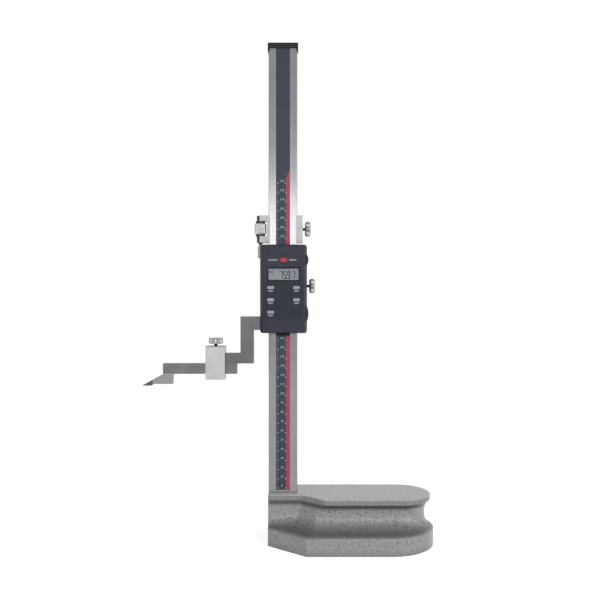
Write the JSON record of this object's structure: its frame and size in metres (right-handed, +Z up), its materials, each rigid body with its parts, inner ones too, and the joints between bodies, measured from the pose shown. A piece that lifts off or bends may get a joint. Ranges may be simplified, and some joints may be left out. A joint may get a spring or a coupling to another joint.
{
  "type": "digital height gauge",
  "caption": "Digital height gauge: heavy cast base with finger groove, steel column with printed scale, sliding display head, fine-adjust carriage and clamped carbide scriber.",
  "frame": {"origin": "centre of the column's section, projected onto the base's ground underside", "axes": "+Z up the column, +X along the base away from the scriber, -Y the side the display is read from"},
  "size_m": [0.3144, 0.1, 0.541],
  "materials": {
    "painted_casting": "grey speckled hammer paint on the cast sides, smooth paint on top",
    "column_steel": "ground stainless steel, satin along the length",
    "scale_film": "matt slate film with pale numbers and a red edge stripe",
    "black_plastic": "moulded black plastic",
    "black_screw_steel": "black oxide on socket screws",
    "screw_steel": "bright steel screws and pins",
    "slider_steel": "ground tool steel",
    "gib_bronze": "phosphor bronze strip",
    "wiper_rubber": "black wiper rubber",
    "housing_plastic": "fine-textured slate grey moulded plastic",
    "board_laminate": "green glass-fibre laminate",
    "bezel_plastic": "gloss black bezel",
    "window_plastic": "clear acrylic window",
    "lcd_grey": "reflective grey liquid-crystal panel",
    "connector_rubber": "silicone rubber",
    "badge_red": "plain red domed plate",
    "contact_brass": "plated spring contacts",
    "key_plastic": "light grey moulded keys",
    "cell_steel": "bright steel button cell",
    "port_rubber": "soft slate port cover",
    "pad_brass": "turned brass pad",
    "nickel_plate": "bright nickel plate on turned steel",
    "satin_steel": "satin chromed steel block",
    "scriber_steel": "ground hardened steel",
    "tungsten_carbide": "ground tungsten carbide"
  },
  "bodies": {
    "base": {"base_casting": "painted_casting", "column": "column_steel", "scale_strip": "scale_film", "column_cap": "black_plastic", "cap_screw": "black_screw_steel", "column_screws": "black_screw_steel", "column_dowel": "screw_steel"},
    "slider": {"slider_frame": "slider_steel", "rear_plate": "slider_steel", "rear_plate_screws": "screw_steel", "gib_strip": "gib_bronze", "gib_screws": "black_screw_steel", "strip_wipers": "wiper_rubber", "fine_adjust_rod": "screw_steel", "rod_pin": "screw_steel", "display_chassis": "slider_steel", "display_cover": "housing_plastic", "cover_screws": "screw_steel", "circuit_board": "board_laminate", "board_screws": "screw_steel", "sensor_board": "board_laminate", "sensor_header": "black_plastic", "lcd_bezel": "bezel_plastic", "lcd_window": "window_plastic", "lcd_panel": "lcd_grey", "lcd_connector": "connector_rubber", "badge": "badge_red", "key_mat": "connector_rubber", "battery_contacts": "contact_brass", "data_connector": "black_plastic"},
    "key_upper_left": {"key_upper_left": "key_plastic"},
    "key_middle_left": {"key_middle_left": "key_plastic"},
    "key_lower_left": {"key_lower_left": "key_plastic"},
    "key_upper_right": {"key_upper_right": "key_plastic"},
    "key_middle_right": {"key_middle_right": "key_plastic"},
    "battery": {"battery_tray": "housing_plastic", "coin_cell": "cell_steel"},
    "port_cover": {"data_port_cover": "port_rubber"},
    "slider_lock_pad": {"slider_lock_pad": "pad_brass"},
    "slider_lock_screw": {"slider_lock_screw": "nickel_plate"},
    "carriage": {"carriage_frame": "satin_steel"},
    "carriage_lock_pad": {"carriage_lock_pad": "pad_brass"},
    "carriage_lock_screw": {"carriage_lock_screw": "nickel_plate"},
    "fine_adjust_nut": {"fine_adjust_nut": "nickel_plate"},
    "scriber_clamp": {"scriber_clamp": "satin_steel"},
    "scriber_clamp_pad": {"scriber_clamp_pad": "pad_brass"},
    "scriber_clamp_screw": {"scriber_clamp_screw": "nickel_plate"},
    "scriber": {"scriber_bar": "scriber_steel", "carbide_tip": "tungsten_carbide"}
  },
  "joints": [
    {"name": "slider_travel", "type": "slide", "parent": "base", "child": "slider", "axis": [0, 0, 1], "range_m": [-0.1696, 0.15]},
    {"name": "carriage_travel", "type": "slide", "parent": "slider", "child": "carriage", "axis": [0, 0, 1], "range_m": [-0.003, 0.006]},
    {"name": "fine_adjust_turn", "type": "hinge", "parent": "carriage", "child": "fine_adjust_nut", "pos_m": [-0.0246, 0, 0], "axis": [0, 0, 1], "range_deg": [-2160, 4320]},
    {"name": "slider_lock_travel", "type": "slide", "parent": "slider", "child": "slider_lock_pad", "axis": [1, 0, 0], "range_m": [0, 0.0014]},
    {"name": "slider_lock_turn", "type": "hinge", "parent": "slider_lock_pad", "child": "slider_lock_screw", "pos_m": [0, 0, 0.2775], "axis": [1, 0, 0], "range_deg": [0, 720]},
    {"name": "carriage_lock_travel", "type": "slide", "parent": "carriage", "child": "carriage_lock_pad", "axis": [1, 0, 0], "range_m": [0, 0.0014]},
    {"name": "carriage_lock_turn", "type": "hinge", "parent": "carriage_lock_pad", "child": "carriage_lock_screw", "pos_m": [0, 0, 0.33915], "axis": [1, 0, 0], "range_deg": [0, 720]},
    {"name": "scriber_clamp_travel", "type": "slide", "parent": "slider", "child": "scriber_clamp", "axis": [1, 0, 0], "range_m": [-0.006, 0.012]},
    {"name": "scriber_clamp_screw_travel", "type": "slide", "parent": "scriber_clamp", "child": "scriber_clamp_pad", "axis": [0, 0, 1], "range_m": [0, 0.0014]},
    {"name": "scriber_clamp_screw_turn", "type": "hinge", "parent": "scriber_clamp_pad", "child": "scriber_clamp_screw", "pos_m": [-0.07305, 0, 0], "axis": [0, 0, 1], "range_deg": [0, 720]},
    {"name": "scriber_travel", "type": "slide", "parent": "slider", "child": "scriber", "axis": [1, 0, 0], "range_m": [-0.01, 0.024]},
    {"name": "battery_tray_travel", "type": "slide", "parent": "slider", "child": "battery", "axis": [1, 0, 0], "range_m": [0, 0.016]},
    {"name": "port_cover_travel", "type": "slide", "parent": "slider", "child": "port_cover", "axis": [1, 0, 0], "range_m": [0, 0.005]},
    {"name": "key_upper_left_press", "type": "slide", "parent": "slider", "child": "key_upper_left", "axis": [0, 1, 0], "range_m": [0, 0.0005], "stiffness_N_per_m": 600},
    {"name": "key_middle_left_press", "type": "slide", "parent": "slider", "child": "key_middle_left", "axis": [0, 1, 0], "range_m": [0, 0.0005], "stiffness_N_per_m": 600},
    {"name": "key_lower_left_press", "type": "slide", "parent": "slider", "child": "key_lower_left", "axis": [0, 1, 0], "range_m": [0, 0.0005], "stiffness_N_per_m": 600},
    {"name": "key_upper_right_press", "type": "slide", "parent": "slider", "child": "key_upper_right", "axis": [0, 1, 0], "range_m": [0, 0.0005], "stiffness_N_per_m": 600},
    {"name": "key_middle_right_press", "type": "slide", "parent": "slider", "child": "key_middle_right", "axis": [0, 1, 0], "range_m": [0, 0.0005], "stiffness_N_per_m": 600}
  ],
  "couplings": [
    {"joint": "fine_adjust_turn", "follows": "carriage_travel", "rad_per_m": 12566},
    {"joint": "slider_lock_turn", "follows": "slider_lock_travel", "rad_per_m": 8976},
    {"joint": "carriage_lock_turn", "follows": "carriage_lock_travel", "rad_per_m": 8976},
    {"joint": "scriber_clamp_screw_turn", "follows": "scriber_clamp_screw_travel", "rad_per_m": 8976}
  ]
}
